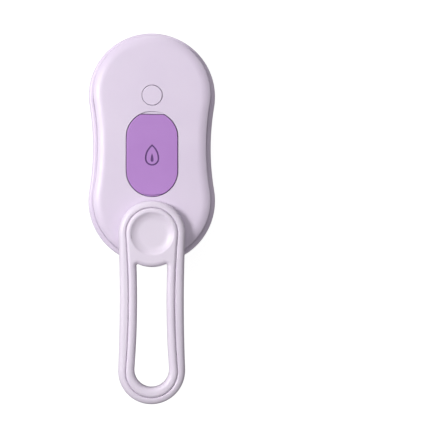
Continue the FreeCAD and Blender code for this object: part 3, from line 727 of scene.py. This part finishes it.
def buildStrap():
    low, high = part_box("cap_strap")
    thick = strapValues["thickness"]
    gap = strapValues["armGap"]
    # side outline from the lower arm round the fold to the upper arm, as (y, z)
    side = [
        (high.y, low.z), (high.y, low.z + thick), (low.y + thick, low.z + thick),
        (low.y + thick, low.z + gap), (high.y, low.z + gap), (high.y, low.z + gap + thick),
        (low.y + thick, low.z + gap + thick), (low.y + thick, high.z), (low.y, high.z),
        (low.y, low.z),
    ]
    bm = bmesh.new()
    corners = [bm.verts.new((low.x, y, z)) for y, z in side]
    bm.faces.new(corners)
    across = bmesh.ops.extrude_face_region(bm, geom=bm.faces[:])
    moved = [g for g in across["geom"] if isinstance(g, bmesh.types.BMVert)]
    bmesh.ops.translate(bm, verts=moved, vec=(high.x - low.x, 0, 0))
    bmesh.ops.bevel(bm, geom=bm.edges[:], offset=strapValues["edge"], segments=strapValues["edgeSteps"],
                    profile=0.5, affect="EDGES", material=-1, clamp_overlap=True)
    for number in range(strapValues["foldCuts"]):
        height = low.z + thick + (gap - thick) * (number + 0.5) / strapValues["foldCuts"]
        cutAcross(bm, (0, 0, height), (0, 0, 1))
    for number in range(1, strapValues["widthCuts"]):
        cutAcross(bm, (low.x + (high.x - low.x) * number / strapValues["widthCuts"], 0, 0), (1, 0, 0))
    # the fold follows the lid's round end, and the arms run straight under the lid
    lidLow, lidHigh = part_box("water_cap")
    radius = (lidHigh.x - lidLow.x) / 2
    for vert in bm.verts:
        share = min(1, (high.y - vert.co.y) / (high.y - low.y - thick))
        vert.co.y += share * (radius - math.sqrt(radius ** 2 - vert.co.x ** 2))
    strap = newPiece("lidStrap", bm, materials["strap"], None)
    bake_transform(strap)
    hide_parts("cap_strap")


buildStrap()
print("strap built")


# contacts in the charging socket
contactValues = {
    "count": 12,
    "pitch": 0.5 * mm,
    "size": (0.26 * mm, 3.6 * mm, 0.05 * mm),
    "edge": 0.012 * mm,
    "setback": 1.3 * mm,       # from the socket's mouth
    "tongueHalf": 0.35 * mm,
}


def buildContacts():
    low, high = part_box("usb_socket")
    v = contactValues
    centreZ = (low.z + high.z) / 2
    centreY = high.y - v["setback"] - v["size"][1] / 2
    bm = bmesh.new()
    for side in (-1, 1):
        for number in range(v["count"]):
            x = (number - (v["count"] - 1) / 2) * v["pitch"]
            place = Matrix.Translation((x, centreY, centreZ + side * v["tongueHalf"]))
            bmesh.ops.create_cube(bm, size=1, matrix=place @ Matrix.Diagonal((*v["size"], 1)))
    bmesh.ops.bevel(bm, geom=bm.edges[:], offset=v["edge"], segments=1, profile=0.5,
                    affect="EDGES", material=-1)
    newPiece("socketContacts", bm, materials["gold"], "casing")


buildContacts()
print("contacts built")


stageValues = {
    "radius": 3.0,
    "wallHeight": 3.5,
    "bend": 0.8,
    "bendSteps": 8,
    "wallSteps": 64,
    "mergeWithin": 0.01 * mm,
    "floorColour": (0.20, 0.20, 0.20),
    "floorRoughness": 0.95,
    "floorGlow": 0.94,
    "worldColour": (0.97, 0.97, 1.0),
    "worldStrength": 0.15,
}

lightValues = {
    # name: (place in metres, power in watts, size in metres)
    "keyLight": ((-0.62, 0.22, 0.78), 8.0, 0.26),
    "topLight": ((0.0, 0.10, 1.30), 2.6, 0.90),
    "sideLight": ((-0.90, 0.20, 0.26), 2.0, 0.50),
    "headLight": ((0.05, 0.95, 0.32), 1.9, 0.50),
    "fillLight": ((0.80, 0.10, 0.50), 0.45, 0.50),
    "lowLight": ((0.55, -0.85, 0.14), 1.2, 0.60),
}

cameraValues = {
    "place": (0.0, -0.012, 0.508),
    "turn": (1.42, -3.70, 0.0),       # degrees
    "sensorWidth": 36.0,              # millimetres, as is the lens
    "lens": 78.180974,
}


def buildRoom():
    # pale floor that bends up into a wall all round, as a studio sweep does
    v = stageValues
    bm = bmesh.new()
    line = [bm.verts.new((0, 0, 0)), bm.verts.new((v["radius"] - v["bend"], 0, 0))]
    edges = [bm.edges.new(line)]
    turn = bmesh.ops.spin(bm, geom=[line[1]], cent=(v["radius"] - v["bend"], 0, v["bend"]),
                          axis=(0, -1, 0), dvec=(0, 0, 0), angle=math.pi / 2, steps=v["bendSteps"])
    last = [g for g in turn["geom_last"] if isinstance(g, bmesh.types.BMVert)][0]
    edges.append(bm.edges.new((last, bm.verts.new((v["radius"], 0, v["wallHeight"])))))
    bmesh.ops.spin(bm, geom=bm.verts[:] + bm.edges[:], cent=(0, 0, 0), axis=(0, 0, 1),
                   dvec=(0, 0, 0), angle=math.tau, steps=v["wallSteps"], use_merge=True,
                   use_duplicate=False)
    bmesh.ops.remove_doubles(bm, verts=bm.verts[:], dist=v["mergeWithin"])
    mesh = bpy.data.meshes.new("paleRoom")
    bm.to_mesh(mesh)
    bm.free()
    mesh.shade_smooth()
    room = bpy.data.objects.new("paleRoom", mesh)
    scene.collection.objects.link(room)
    material, tree, shader = startMaterial("paleRoom", v["floorColour"], v["floorRoughness"])
    shader.inputs["Specular IOR Level"].default_value = 0.0
    shader.inputs["Emission Color"].default_value = (1, 1, 1, 1)
    shader.inputs["Emission Strength"].default_value = v["floorGlow"]
    mesh.materials.append(material)
    # the room stays out of bounce light, so that only the world and the lamps shape the object
    room.visible_diffuse = False
    room.visible_glossy = False
    room.visible_shadow = False
    world = bpy.data.worlds.new("softRoom")
    world.use_nodes = True
    background = world.node_tree.nodes["Background"]
    background.inputs["Color"].default_value = (*v["worldColour"], 1)
    background.inputs["Strength"].default_value = v["worldStrength"]
    scene.world = world
    scene.view_settings.view_transform = "Standard"


def addLight(name, place, power, size):
    light = bpy.data.lights.new(name, "AREA")
    light.energy = power
    light.size = size
    lamp = bpy.data.objects.new(name, light)
    scene.collection.objects.link(lamp)
    lamp.location = place
    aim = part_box("upper_casing")[1].z
    lamp.rotation_euler = (Vector((0, 0, aim)) - Vector(place)).to_track_quat("-Z", "Y").to_euler()


def placeCamera():
    v = cameraValues
    data = bpy.data.cameras.new("mainCamera")
    camera = bpy.data.objects.new("mainCamera", data)
    scene.collection.objects.link(camera)
    data.sensor_width = v["sensorWidth"]
    data.lens = v["lens"]
    camera.location = v["place"]
    camera.rotation_euler = [math.radians(angle) for angle in v["turn"]]
    scene.camera = camera


buildRoom()
for lightName, (place, power, size) in lightValues.items():
    addLight(lightName, place, power, size)
placeCamera()
print("stage, light and camera placed")
